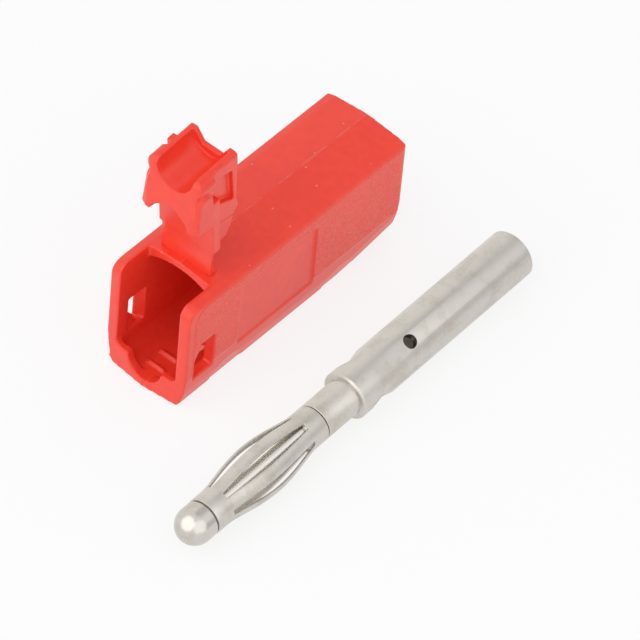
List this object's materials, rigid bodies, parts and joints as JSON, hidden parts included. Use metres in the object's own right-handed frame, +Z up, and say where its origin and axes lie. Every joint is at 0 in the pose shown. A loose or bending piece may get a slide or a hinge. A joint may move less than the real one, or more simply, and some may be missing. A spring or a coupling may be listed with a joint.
{
  "type": "banana plug",
  "caption": "Banana plug kit shown apart: a red moulded housing with a fold-over cable clamp on a film hinge, and the loose nickel-plated lantern-spring contact with its crimp barrel.",
  "frame": {"origin": "on the floor under the middle of the housing's length, on its flat underside", "axes": "+Y along the housing from the cable end to the plug end, +X across towards the loose contact, +Z up"},
  "size_m": [0.0204, 0.0416, 0.0237],
  "materials": {
    "red_plastic": "satin moulded, fine grain on the side",
    "nickel_plate": "satin nickel plate on turned brass",
    "spring_plate": "nickel-plated spring sheet"
  },
  "bodies": {
    "housing": {"housing": "red_plastic", "film_hinge": "red_plastic", "contact_body": "nickel_plate", "lantern_spring": "spring_plate", "nose_pin": "nickel_plate"},
    "flap": {"strain_relief_flap": "red_plastic"}
  },
  "joints": [
    {"name": "flap_fold", "type": "hinge", "parent": "housing", "child": "flap", "pos_m": [0, -0.00933, 0.01295], "axis": [1, 0, 0], "range_deg": [0, 174], "stiffness_Nm_per_rad": 0.002, "deforming": ["film_hinge"]}
  ]
}
